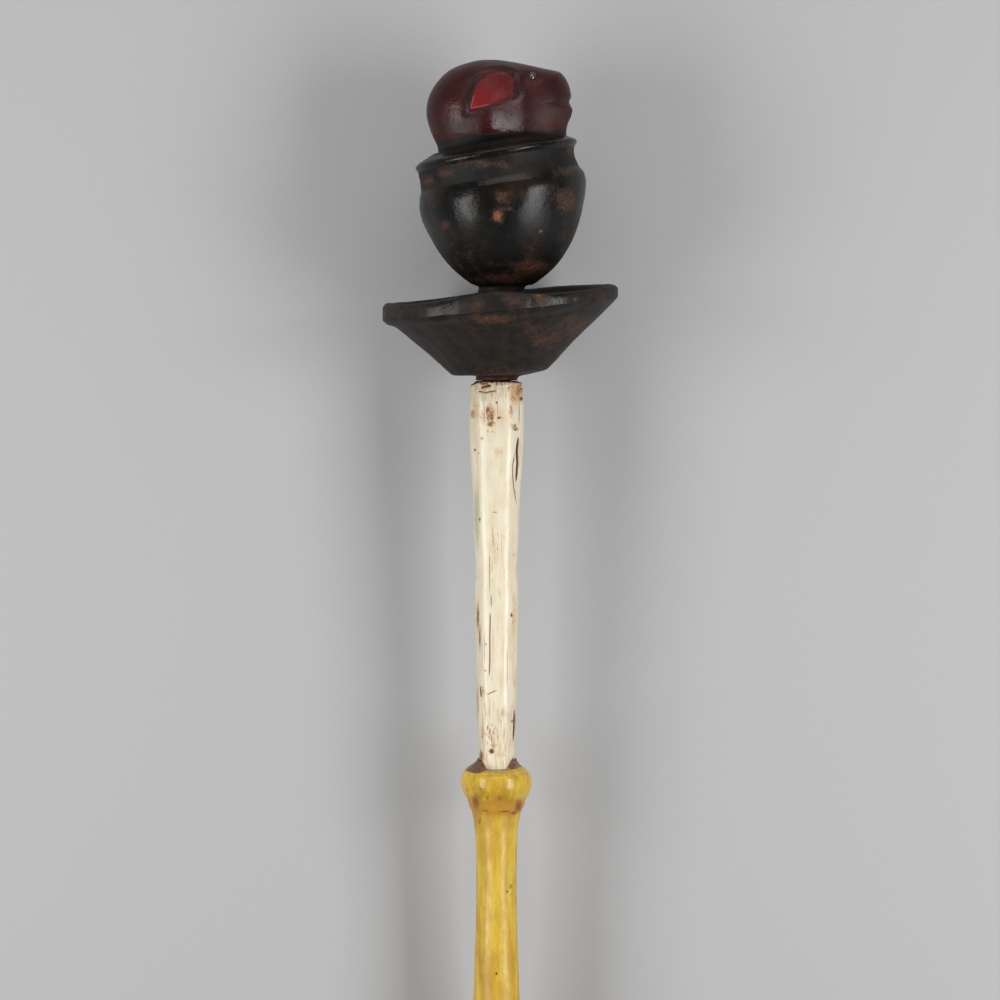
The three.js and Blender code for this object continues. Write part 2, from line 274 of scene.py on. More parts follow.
def stroke(x, y, line, width):
    """1 on a line of points, and softly down to 0 beside it."""
    return hump(distance_to_line(x, y, line), 0, width)


def strongest(x, y, marks):
    """The strongest of some soft spots; a mark is x, y, half width, half height and strength."""
    field = np.zeros(np.shape(x))
    for across, height, wide, high, strength in marks:
        spot = hump(x, across, wide) * hump(y, height, high)
        field = np.maximum(field, strength * spot)
    return field


def spots(points, marks):
    """Such spots on the side that faces up."""
    return strongest(points[..., 0], points[..., 1], marks) * ramp(points[..., 2], -2, 4)


# Meshes

def staff_to_row():
    """The matrix from the staff's frame, in millimetres, to the row's frame, in metres."""
    mount = next(m for m in frame["record"]["mounts"] if m["name"] == "foot_end")
    along = -Vector(mount["axis"]).normalized()
    side = Vector((1, 0, 0))
    up = side.cross(along)
    turn = Matrix((side, along, up)).transposed().to_4x4()
    return Matrix.Translation(mount["pos_m"]) @ turn @ Matrix.Scale(MM, 4)


STAFF = staff_to_row()


def closed_grid(rows):
    """Vertices and faces of rows of points round a body; the first and the last row close to a point."""
    count, around = rows.shape[:2]
    corners = np.vstack([rows[0].mean(0), rows[1:-1].reshape(-1, 3), rows[-1].mean(0)])
    index = 1 + np.arange((count - 2) * around).reshape(count - 2, around)
    nexts = np.roll(index, -1, axis=1)
    quads = np.stack([index[:-1], nexts[:-1], nexts[1:], index[1:]], axis=-1).reshape(-1, 4)
    first = [(0, int(b), int(a)) for a, b in zip(index[0], nexts[0])]
    last = [(len(corners) - 1, int(a), int(b)) for a, b in zip(index[-1], nexts[-1])]
    return corners, first + quads.tolist() + last


def grid_normals(rows):
    """The direction out of the surface at each point of such rows, where they go up and round leftwards."""
    along = np.gradient(rows, axis=0)
    around = np.roll(rows, -1, axis=1) - np.roll(rows, 1, axis=1)
    normal = np.cross(along, around)
    return normal / np.maximum(np.linalg.norm(normal, axis=2, keepdims=True), 1e-9)


def outward(corners, faces):
    """The faces, turned so that they all look out."""
    a, b, c = (corners[[f[i] for f in faces]] for i in range(3))
    volume = np.einsum("ij,ij->", a, np.cross(b, c))
    return faces if volume > 0 else [f[::-1] for f in faces]


def rest_on_floor(corners):
    """Flattens what would reach under the floor."""
    row = np.array(STAFF)
    height = corners @ row[2, :3] + row[2, 3]
    sink = np.minimum(height, 0)[:, None]
    return corners - sink * row[2, :3] / (row[2, :3] @ row[2, :3])


def placed(name, data):
    """A new object in the scene."""
    made = bpy.data.objects.new(name, data)
    bpy.context.scene.collection.objects.link(made)
    return made


def new_piece(name, corners, faces):
    """A smooth mesh object on the floor, from corners in the staff's frame."""
    corners = rest_on_floor(corners)
    mesh = bpy.data.meshes.new(name)
    mesh.from_pydata(corners.tolist(), [], outward(corners, faces))
    mesh.transform(STAFF)
    mesh.update()
    mesh.shade_smooth()
    return placed(name, mesh)


def staff_points(piece):
    """A piece's vertices, back in the staff's frame."""
    flat = np.empty(len(piece.data.vertices) * 3)
    piece.data.vertices.foreach_get("co", flat)
    back = np.array(STAFF.inverted())
    return flat.reshape(-1, 3) @ back[:3, :3].T + back[:3, 3]


def give(piece, **fields):
    """Stores one number for each vertex under each name, for the material to read."""
    for name, values in fields.items():
        attribute = piece.data.attributes.new(name, "FLOAT", "POINT")
        attribute.data.foreach_set("value", np.asarray(values, np.float32))


def turned_grid(profile, count, crowding):
    """Height, radius and angle round the staff on a grid, with closer angles on the side that faces up."""
    even = np.linspace(0, 2 * np.pi, count, endpoint=False)
    angle = np.tile(even + crowding * np.cos(even), (len(profile), 1))
    y, radius = np.repeat(profile.T[..., None], count, axis=2)
    return y, radius, angle


def turned_points(y, radius, angle):
    return np.stack([radius * np.cos(angle), y, radius * np.sin(angle)], axis=-1)


# The finial's turned body

def body_profile():
    """Height and radius along the finial's turned body, from the tenon up to the pot's collar."""
    tenon_end = NECK_END_Y - TENON_LENGTH
    hidden = [
        (tenon_end, 0), (tenon_end, TENON_RADIUS - 1), (tenon_end + 1.5, TENON_RADIUS),
        (NECK_END_Y, TENON_RADIUS), (NECK_END_Y, NECK_RADIUS),
        (DISH_BASE_Y - 0.4, NECK_RADIUS), (DISH_BASE_Y + 0.3, NECK_RADIUS + 2),
        (DISH_CORNER_Y - 1.4, DISH_CORNER_RADIUS - 2), (DISH_CORNER_Y, DISH_CORNER_RADIUS),
    ]
    cone = spline([
        (DISH_CORNER_Y + 1.2, DISH_CORNER_RADIUS + 1.3), (1316, 50.2), (1334.9, 71.2),
        (DISH_BAND_Y - 1, DISH_RADIUS - 1.2),
    ], 1)
    band = [
        (DISH_BAND_Y, DISH_RADIUS), (DISH_RIM_Y - 2, DISH_RADIUS - 0.1),
        (DISH_RIM_Y - 0.3, DISH_RADIUS - 1.8), (DISH_RIM_Y, DISH_RADIUS - 4),
        (DISH_RIM_Y - 1, DISH_RADIUS - 7.6),
    ]
    bowl = spline([
        (DISH_RIM_Y - 3, DISH_RADIUS - 9.6), (1339.5, 62), (1331.5, 52), (1325.6, 41), (DISH_FLOOR_Y, 28),
        (DISH_FLOOR_Y + 0.6, STUB_RADIUS + 4), (DISH_FLOOR_Y + 4, STUB_RADIUS + 0.4),
    ], 1)
    height = np.arange(POT_BASE_Y + 1, POT_WIDEST_Y, 1.0)
    depth = (POT_WIDEST_Y - height) / POT_BODY_DEPTH
    body = np.stack([height, POT_RADIUS * (1 - depth**POT_BODY_POWER) ** POT_BODY_ROOT], axis=1)
    stub = [(POT_BASE_Y - 1.4, STUB_RADIUS), (POT_BASE_Y, POT_BASE_RADIUS)]
    lip = [
        (POT_WIDEST_Y, POT_RADIUS), (SHOULDER_Y, SHOULDER_RADIUS), (SHOULDER_Y + 4, POT_NECK_RADIUS + 1),
        (POT_NECK_Y, POT_NECK_RADIUS), (POT_LIP_Y - 4.6, POT_NECK_RADIUS + 0.3),
        (POT_LIP_Y - 3.2, POT_LIP_RADIUS - 0.8), (POT_LIP_Y - 1.8, POT_LIP_RADIUS),
        (POT_LIP_Y, POT_LIP_RADIUS - 0.4), (POT_LIP_Y + 1.2, POT_LIP_RADIUS - 2.4),
        (POT_COLLAR_Y, POT_COLLAR_RADIUS), (POT_COLLAR_Y + 1.5, POT_COLLAR_RADIUS * 0.7),
        (POT_COLLAR_Y + 1.5, 0),
    ]
    line = spaced(np.vstack([hidden, cone, band, bowl, stub, body, lip]), 0.25)
    line[1:-1] = softened(line, 3)[1:-1]
    line[0, 1] = line[-1, 1] = 0
    return thinned(line, 0.12, 0.5, 2.1)


def leaned(points):
    """Leans the turned body the way it was carved."""
    x, y, z = np.moveaxis(points, -1, 0)
    radius = np.hypot(x, z)
    dish = ramp(y, DISH_BASE_Y - 1, DISH_CORNER_Y) * (1 - ramp(y, DISH_RIM_Y + 1, POT_BASE_Y))
    pot = ramp(y, POT_UPRIGHT_Y, SHOULDER_Y)
    lift = x * (dish * DISH_LEAN + pot * POT_LEAN) - z * dish * DISH_NOD
    lift -= dish * RIM_DIP * np.maximum(-x, 0) * np.maximum(-z, 0) / DISH_RADIUS**2
    on_band_edge = ramp(radius, DISH_RADIUS - 9, DISH_RADIUS - 2)
    on_band_edge = on_band_edge * (1 - ramp(y, DISH_BAND_Y, DISH_BAND_Y + 5))
    lift -= dish * on_band_edge * BAND_DROP * np.where(x < 0, (x / DISH_RADIUS) ** 2, 0)
    on_rim = ramp(radius, POT_RADIUS, POT_RADIUS + 12) * ramp(y, DISH_BAND_Y, DISH_RIM_Y - 1)
    facing_up = ramp(z, STUB_RADIUS, POT_RADIUS + 6)
    lift += dish * RIM_SWELL * on_rim * facing_up * hump(x, RIM_SWELL_X, RIM_SWELL_WIDTH)
    aside = (
        DISH_X * ramp(y, NECK_END_Y, DISH_CORNER_Y)
        + (POT_X - DISH_X) * ramp(y, DISH_RIM_Y, POT_BASE_Y)
        + (POT_LIP_X - POT_X) * ramp(y, POT_WIDEST_Y, POT_LIP_Y - 4)
    )
    return np.stack([x + aside, y + lift, z], axis=-1)


# Flats that a knife left on the dish's band: x and half width, and how much deeper than a chord they go
BAND_FLATS = [(-34.5, 9), (25.5, 6), (38.5, 6)]
FLAT_EXTRA = 0.08


def body_relief(points):
    """How far the knife left the turned body's surface proud or shy of the true form."""
    x, y, z = np.moveaxis(points, -1, 0)
    radius = np.hypot(x, z)
    shown = ramp(y, NECK_END_Y, DISH_BASE_Y + 2)
    relief = waves(points, [(0.35, 21), (0.2, (9, 16, 9)), (0.06, 3.2)], 1)
    band = ramp(radius, DISH_RADIUS - 3, DISH_RADIUS - 1)
    ring = turned_points(0 * y, DISH_RADIUS, np.arctan2(z, x))
    relief += band * 0.25 * noise(ring, 15, 4)
    for middle, width in BAND_FLATS:
        turned = math.asin((middle - DISH_X) / DISH_RADIUS)
        along = (x - middle + DISH_X) / math.cos(turned)
        reach = width / math.cos(turned)
        cut = (reach**2 - along**2) / (2 * DISH_RADIUS) + FLAT_EXTRA
        relief -= band * np.maximum(cut, 0) * ramp(z, 0, 20)
    return shown * relief


def turned_body():
    rows = turned_points(*turned_grid(body_profile(), BODY_TURNS, BODY_CROWDING))
    push = body_relief(rows)
    push[0] = push[-1] = 0
    return closed_grid(leaned(rows + grid_normals(rows) * push[..., None]))


# The animal's head

def head_outline():
    """The head's outline from the side, around its centre, evenly spaced."""
    skull = spline([
        (42, -21), (38, -33), (20, -40), (-4, -42), (-27, -39.5), (-39.5, -30.5), (-42.2, -22.5),
        (-46.4, -13.2), (-48.8, -0.5), (-45.2, 13.2), (-34.5, 25.2), (-18, 31.4), (-3, 32.4), (7.8, 30.8),
    ], 1)
    nose = [(18, 28.6), (28, 26.5), (37.7, 24.4)]
    muzzle = [(41.4, 19.6), (43.6, 14.4), (44.9, 9)]
    mouth = [(43.4, 5.2)]
    jaw = [(45.9, 0.4), (44.8, -4), (42.6, -8.5), (41.5, -13.6)]
    line = spaced(np.vstack([skull, nose, muzzle, mouth, jaw]), 0.25, closed=True)
    return softened(line, 3, closed=True)


def half_width(x):
    back = BACK_NARROWING * np.minimum(x - TEMPLE_X, 0) ** 2
    front = MUZZLE_NARROWING * np.maximum(x - MUZZLE_X, 0) ** 2
    return TEMPLE_HALF_WIDTH - back - front - MUZZLE_STEP * ramp(x, CHEEK_X, MUZZLE_X)


def bezier(points, count):
    t = np.linspace(0, 1, count, endpoint=False)[:, None]
    p = [np.asarray(q, float) for q in points]
    while len(p) > 1:
        p = [a + (b - a) * t for a, b in zip(p, p[1:])]
    return p[0]


EAR_LEAF = np.vstack([
    bezier([(-20.4, -1.5), (-17.6, 7), (-18.6, 21.5), (-3.5, 22.5)], 14),
    bezier([(-3.5, 22.5), (1, 23), (6.2, 22.4), (7.2, 19.5)], 6),
    bezier([(7.2, 19.5), (7.7, 14), (7.2, 9.7)], 4),
    bezier([(7.2, 9.7), (3, 5.5), (-6, 1), (-20.4, -1.5)], 12),
])
MOUTH_LINE = [(44.5, 5.4), (38, 3.6), (30, 2.4)]
EAR_FRONT_LINE = [(8.2, 22.4), (9.1, 16.1), (9, 8.4)]
EAR_FRONT_RIDGE = [(10.8, 21.8), (11.1, 16), (10.8, 10.5)]
EAR_BACK_LINE = [(-13.6, 21.2), (-18.4, 16.8), (-21.8, 10.6), (-23.2, 3), (-22.6, -4)]
EAR_TIP_LINE = [(-23, -3.4), (-18.6, -4), (-13.5, -3.2)]
# Painted highlight: a pinkish light line along the ear leaf's lower edge, where its hollow's lip catches the
# light
EAR_WORN_LINE = [(-18.1, 7.6), (-19.6, 1.2), (-20, 0), (-14, 0.7), (-8.9, 2)]


def ear_depth(x, y):
    """How far inside the ear's leaf a point is, and less than 0 outside."""
    away = distance_to_line(x, y, EAR_LEAF, closed=True)
    return np.where(inside(x, y, EAR_LEAF), away, -away)


def ear_ridge_share(x, y):
    """1 above and in front of the ear, where its ridge stands, and 0 behind and below it."""
    turn = np.degrees(np.arctan2(y - EAR_CENTRE[1], x - EAR_CENTRE[0]))
    turn = np.where(turn < -90, turn + 360, turn)
    return ramp(turn, -45, -12) * (1 - ramp(turn, 125, 165))


def ear_shade(x, y, ear):
    """Painted shade in the carving's hollows: round the ear, most in the groove at its back and under its
    tip, in the mouth's groove and round the eye's socket.
    """
    behind = 1 - ear_ridge_share(x, y)
    eye = np.hypot(x - EYE_CENTRE[0], y - EYE_CENTRE[1])
    return np.maximum.reduce([
        hump(ear, -1.6, 1.6) * (0.3 + 0.3 * behind) * ramp(-x, -12, 6),
        0.6 * stroke(x, y, EAR_FRONT_LINE, 1),
        0.85 * stroke(x, y, EAR_BACK_LINE, 2),
        0.6 * stroke(x, y, EAR_TIP_LINE, 1.6),
        0.7 * (stroke(x, y, MOUTH_LINE, 1) * ramp(x, 34, 43)),
        0.8 * hump(eye, EYE_RADIUS + 0.4, 0.9),
    ])


def head_relief(x, y):
    """The carving on the side of the head, at points beside its centre."""
    ear = ear_depth(x, y)
    ridge = ear_ridge_share(x, y)
    relief = -EAR_HOLLOW * ramp(ear, -1.6, 1)
    relief += 0.6 * ramp(ear, 1.5, 9)
    relief += ridge * EAR_RIDGE * hump(ear, -4.2, 2)
    relief -= 0.7 * stroke(x, y, EAR_BACK_LINE, 2)
    relief -= 0.6 * stroke(x, y, EAR_TIP_LINE, 1.8)
    relief -= 0.35 * stroke(x, y, EAR_FRONT_LINE, 0.9)
    relief += 0.25 * stroke(x, y, EAR_FRONT_RIDGE, 0.8)
    relief -= ramp(x, 32, 43) * stroke(x, y, MOUTH_LINE, 1.2)
    # The cheek swells under the ear, a shallow valley parts it from the muzzle, and the jaw swells again
    relief += 1.2 * hump(x, -12, 13) * hump(y, -6, 14)
    relief -= 0.3 * hump(x, 16, 11) * hump(y, -3, 14)
    relief += 0.2 * hump(x, 27, 8) * hump(y, -3, 9)
    socket = np.hypot(x - EYE_CENTRE[0], y - EYE_CENTRE[1])
    relief -= 0.5 * hump(socket, 0, 4.2)
    ball = EYE_RADIUS**2 - socket**2
    relief += np.sqrt(np.maximum(ball, 0)) * 0.85
    return relief


def head_turns():
    """Turns from the upper side's middle to the under side's, closer together near both middles."""
    def half(count):
        even = np.linspace(0, 1, count + 1)
        return (even * 0.62 + 0.38 * even**2.2) * math.pi / 2

    return np.concatenate([half(NEAR_HEAD_RINGS), math.pi - half(FAR_HEAD_RINGS)[-2::-1]])


def animal_head():
    outline = spaced(head_outline(), 1.03, closed=True)
    turns = head_turns()
    reach = np.sin(turns) ** HEAD_ROUNDNESS
    reach[0] = reach[-1] = 0
    ellipse = 1 / np.hypot(outline[:, 0] / CHEEK_ELLIPSE[0], outline[:, 1] / CHEEK_ELLIPSE[1])
    blend = ramp(reach, MELT_START, 1)[:, None]
    scale = (ellipse[None] + (1 - ellipse[None]) * blend) * reach[:, None]
    x = outline[None, :, 0] * scale
    y = outline[None, :, 1] * scale
    sine = np.minimum(1, reach) ** (1 / HEAD_ROUNDNESS)
    depth = half_width(x) * ((1 - sine**2).clip(0) ** (HEAD_ROUNDNESS / 2))[:, None]
    side = np.sign(np.cos(turns))[:, None]
    side[np.abs(np.cos(turns)) < 1e-6] = 0
    rows = np.stack([x, y, side * depth], axis=-1)
    normal = -grid_normals(rows)
    normal[0] = (0, 0, 1)
    normal[-1] = (0, 0, -1)
    edge = 1 - ramp(reach, 0.93, 1)[:, None]
    push = head_relief(x, y) * edge + waves(rows, [(0.3, 17), (0.12, 6.5), (0.04, 2.4)], 11)
    push[0] = push[0].mean()
    push[-1] = push[-1].mean()
    rows = rows + normal * push[..., None]
    return closed_grid(rows + np.array([HEAD_X, HEAD_Y, 0]))


def joined(piece, other):
    """One solid out of two that overlap."""
    union = piece.modifiers.new("join", "BOOLEAN")
    union.operation = "UNION"
    union.solver = "EXACT"
    union.object = other
    graph = bpy.context.evaluated_depsgraph_get()
    mesh = bpy.data.meshes.new_from_object(piece.evaluated_get(graph))
    piece.modifiers.clear()
    piece.data = mesh
    mesh.shade_smooth()
    bpy.data.objects.remove(other)
    return piece


# Soft spots where the black paint has worn, and where it is orange: x, y, half width, half height, strength.
# The broad spots on the dish's right side at x 33.4 and x 48 are partly wear and partly a painted sheen.
WORN = [
    (3.2, 1409.4, 5, 6, 0.85), (1.2, 1397.2, 6.5, 7, 1.1), (7.9, 1403.1, 4, 9, 0.6),
    (28.3, 1387.8, 2.2, 2.4, 0.9), (22, 1364.8, 17, 6, 1.05), (44, 1407.5, 10, 10, 0.95),
    (2, 1429.6, 11, 2.8, 0.95), (-43.4, 1420, 7, 4, 0.9), (-33.5, 1391.6, 3.8, 3.2, 1.1),
    (1, 1358, 24, 4, 0.95), (-19.6, 1371.2, 11, 8, 0.6), (47.3, 1439.1, 5, 3, 0.75),
    (-49.8, 1429.3, 5, 2, 0.6), (-20, 1427, 16, 2, 0.6), (43.4, 1384.1, 8, 14, 0.55), (34, 1400, 5, 5, 0.5),
    (4, 1364, 36, 11, 0.5), (44, 1425, 10, 6, 0.8), (-40, 1400, 8, 20, 0.4), (-10, 1430, 16, 3.2, 0.95),
    (-34, 1424, 12, 3, 0.75), (-24, 1378, 10, 10, 0.45), (26, 1378, 12, 8, 0.45),
    (-3.8, 1331.5, 20, 3.6, 1), (7.8, 1345.1, 5, 1.6, 0.85), (30, 1342.4, 3.6, 4, 0.75),
    (26, 1346.4, 5, 1.4, 0.8), (-65.1, 1336.8, 6, 6, 0.85), (50, 1344.4, 4, 2.4, 0.75),
    # Painted sheen in part: the broad brown spots at x 33.4 and x 48 lighten the dish's right side, where the
    # light falls
    (68.8, 1345.7, 6, 6, 0.7), (33.4, 1320.2, 22, 12, 0.8), (-40, 1322, 14, 8, 0.35),
    (2, 1318.3, 16, 8, 0.3), (20, 1325, 5, 14, 0.6), (0, 1298.4, 30, 2.5, 0.5), (48, 1329, 14, 8, 0.95),
    (-12, 1341, 10, 4, 0.6), (8, 1342, 10, 5, 0.6),
]
ORANGE = [
    (0.4, 1396.8, 4.4, 4.2, 1), (3, 1408.9, 3, 4, 0.35), (28.3, 1387.8, 1.8, 1.8, 0.95),
    (7.8, 1345.3, 4, 1, 0.7), (26, 1346.4, 4, 1, 0.8), (-43.4, 1420, 4, 2, 0.55), (2, 1429.6, 7, 1.4, 0.6),
    (-3.8, 1331.5, 12, 1.8, 0.5), (23.7, 1364.6, 12, 3, 0.55), (44, 1400, 6, 6, 0.45),
    (-33.5, 1391.6, 1.8, 1.4, 0.5), (50, 1344.6, 2.4, 1.6, 0.7),
]

# The head's paint begins at this height, and higher by the slope to the muzzle's side
HEAD_PAINT_FOOT = 1449.4
HEAD_PAINT_SLOPE = 0.085

# Where the paint still shines: spots beside the head's centre, and x and half width on the dish's band
HEAD_SHINE = [(-3, -11.5, 12, 7, 1), (-31, -1, 4.5, 9, 0.7)]
BAND_SHINE = [(-34.5, 9), (25.5, 7), (38.5, 6)]


def jaw_share(u, v):
    """1 on the jaw, at points beside the head's centre."""
    return ramp(u, 14, 26) * ramp(-v, -5, 1)


def dullness(points):
    """0 where the finial's paint shines and 1 where it is matte."""
    x, y, z = points.T
    u, v = x - HEAD_X, y - HEAD_Y
    level = y - POT_LEAN * x
    neck = ramp(level, 1419.5, 1423.5) * (1 - ramp(level, 1433.5, 1435.5))
    above_lip = ramp(level, 1441, 1444)
    side = 0.25 * ramp(np.abs(x - POT_X), 26, 44)
    low = 0.9 * (1 - ramp(level, 1372, 1410))
    pot = np.maximum.reduce([neck, above_lip, side, low])
    band = 1 - np.maximum.reduce([hump(x, middle, wide) for middle, wide in BAND_SHINE])
    reach = np.hypot(x - DISH_X, z)
    dish = np.where(reach > DISH_RADIUS - 5, 1.1 * band - 0.25, 0.9)
    dull = np.where(y < POT_BASE_Y - 1, dish, pot)
    nape = hump(u, -16, 7) * hump(v, -8, 10)
    head = (1 - strongest(u, v, HEAD_SHINE)) * (0.55 + 0.35 * np.maximum(jaw_share(u, v), nape))
    return np.where(y > HEAD_PAINT_FOOT + 1, head, dull)


# A depth well outside a painted form
OUTSIDE = -9


def make_finial():
    body = new_piece("finial_carving", *turned_body())
    finial = joined(body, new_piece("head_blank", *animal_head()))
    points = staff_points(finial)
    x, y, z = points.T
    u, v = x - HEAD_X, y - HEAD_Y
    on_head = ramp(y, HEAD_Y - 14, HEAD_Y - 8) * ramp(np.abs(z), 8, 14)
    on_side = on_head > 0.5
    head_paint = y - HEAD_PAINT_FOOT - HEAD_PAINT_SLOPE * x
    ear = np.where(on_side, ear_depth(u, v), OUTSIDE)
    eye = np.hypot(u - EYE_CENTRE[0], v - EYE_CENTRE[1])
    give(
        finial,
        head_paint=np.where(y > POT_COLLAR_Y - 8, head_paint, OUTSIDE),
        ear_paint=ear,
        ear_dark=ear_shade(u, v, ear) * on_side,
        ear_light=ramp(-0.7 * u - v, -20, 14),
        ear_worn=stroke(u, v, EAR_WORN_LINE, 0.8) * on_head,
        eye=np.where(on_side, EYE_RADIUS - eye, OUTSIDE),
        jaw=jaw_share(u, v) * on_head,
        neck_paint=DISH_BASE_Y + 0.8 - y,
        dull=dullness(points),
        worn=spots(points, WORN),
        orange=spots(points, ORANGE),
    )
    return finial


# The shafts

def radius_at(y, pairs):
    """The radius at each height, on a smooth curve through the pairs."""
    line = spline(sorted(pairs), 1)
    return np.interp(y, line[:, 0], line[:, 1])


def planed(angle, radius, corners):
    """Planes a round shaft with soft facets between the given corners."""
    edges = np.radians(corners)
    edges = np.concatenate([edges[-1:] - 2 * math.pi, edges, edges[:1] + 2 * math.pi])

    def flat(turned):
        turned = turned % (2 * math.pi)
        right = np.searchsorted(edges, turned, side="right").clip(1, len(edges) - 1)
        low, high = edges[right - 1], edges[right]
        return np.cos((high - low) / 2) / np.cos(turned - (low + high) / 2)

    shares = np.linspace(-1, 1, 7)
    polygon = sum(flat(angle + s * FACET_ROUNDING) for s in shares) / len(shares)
    return radius * (1 - FACET_SHARE + FACET_SHARE * polygon)


def planed_shaft(profile, turns, corners, fit, wander, layers, seed):
    """A shaft on a grid: height, radius, angle, a ring of points for noises, planed radius and relief."""
    y, radius, angle = turned_grid(profile, turns, SHAFT_CROWDING)
    ring = turned_points(y, RING_RADIUS, angle)
    turned = angle + 0.04 * noise(ring * (0, 1, 0), wander, seed)
    return y, radius, angle, ring, planed(turned, radius * fit, corners), waves(ring, layers, seed + 1)


def crack_depths(angle, y):
    """How deep each point of the white shaft is in a crack, from 0 to 1; narrow cracks are shallow too."""
    field = np.zeros(angle.shape)
    for half, *line in WHITE_CRACKS:
        x, ys = np.reshape(line, (-1, 2)).T
        near = (y > ys.min() - 4) & (y < ys.max() + 4)
        around = radius_at(ys, UPPER_SHAFT_RADII + [(NECK_END_Y, 18)])
        turn = math.pi / 2 - np.arcsin(np.clip(x / around, -0.99, 0.99))
        mean = around.mean()
        away = distance_to_line(angle[near] * mean, y[near], np.stack([turn * mean, ys], axis=1))
        fade = min(5, 0.4 * np.ptp(ys))
        start = ramp(y[near], ys.min() - 1, ys.min() + fade)
        end = 1 - ramp(y[near], ys.max() - fade, ys.max() + 1)
        depth = min(1, half / 0.8) * (0.45 + 0.55 * np.minimum(start, end))
        field[near] = np.maximum(field[near], hump(away, 0, half) * depth)
    return field


# Cracks in the white paint: half width, and the points along the crack as x, y, x, y. The short dashes
# between y 1055 and 1070, at x -1 to -6.5, are shallow cuts painted dark as the shade beside lifted flakes:
# painted shade.
WHITE_CRACKS = [
    (0.28, 3.4, 1196, 3.6, 1172), (0.28, -8.9, 1128, -8.6, 1108), (0.3, -12.2, 1103, -12, 1097),
    (0.3, -9.6, 1099, -9.3, 1094), (0.3, -8.2, 1083, -8, 1077), (0.3, -10, 1072, -9.8, 1066),
    (0.3, 3.2, 1074, 3.3, 1066), (0.3, 6.9, 1056, 7, 1048), (0.3, -8.5, 1279, -8.6, 1262),
    (0.3, 0.8, 1284, 0.9, 1264), (0.3, -2.9, 1200, -2.8, 1182), (0.3, 7.6, 1118, 8, 1094),
    (0.34, -3.2, 1177.3, -3.3, 1165.9), (0.36, -5, 1179.8, -5.1, 1166.8, -5, 1153.9),
    (0.36, -3.6, 1206.3, 0, 1206.8), (0.36, -3.3, 1069.4, -3.4, 1067), (0.36, -5.7, 1061, -5.2, 1059),
    (0.36, -1, 1067.4, -1.3, 1065.4), (0.36, -1.6, 1058.8, -1.9, 1056.4),
    (0.36, -6.4, 1057.2, -6.1, 1055.4), (0.36, 9.9, 1262.5, 12.9, 1259.4), (0.4, -6.5, 1068, -6.2, 1065.2),
    (0.4, -4.7, 1066, -4.9, 1062.6), (0.4, -2.3, 1064.8, -1.8, 1062), (0.4, -3.8, 1059.4, -3.3, 1057),
    (0.4, 9.2, 1281, 11.4, 1278.6), (0.4, 9.5, 1264.5, 14.7, 1259), (0.42, -4, 1153.5, -3.9, 1144.9),
    (0.45, -6.3, 1088.2, -3, 1089.9, 0, 1090.9), (0.45, 15.6, 1278.2, 15.8, 1268.3, 15.5, 1262.3),
    (0.45, 10.4, 1282.3, 13.3, 1279.1),
    (0.5, 12.5, 1244.5, 11.3, 1237.5, 11.3, 1229.6, 12, 1222.5, 14, 1211.4),
    (0.5, -4.6, 1141.9, -5, 1122.9, -4.9, 1112.9, -5.4, 1099.8), (0.5, 0.2, 1291.3, 0.3, 1288.3),
    (0.56, -11.9, 1284.7, -7.1, 1284.1, -4.3, 1284.8, -0.7, 1285.4), (0.6, -11.3, 1290.1, -5.4, 1289.2),
    (0.7, -11.4, 1092.8, -10.6, 1086.4), (0.7, -10.2, 1287.4, -4.3, 1288.6),
    (0.9, 12.4, 1077, 12.1, 1067.9, 11.6, 1057.9),
    (1.3, 15.1, 1254.3, 14.2, 1246.4, 14.7, 1238.4, 13.8, 1227.4),
]

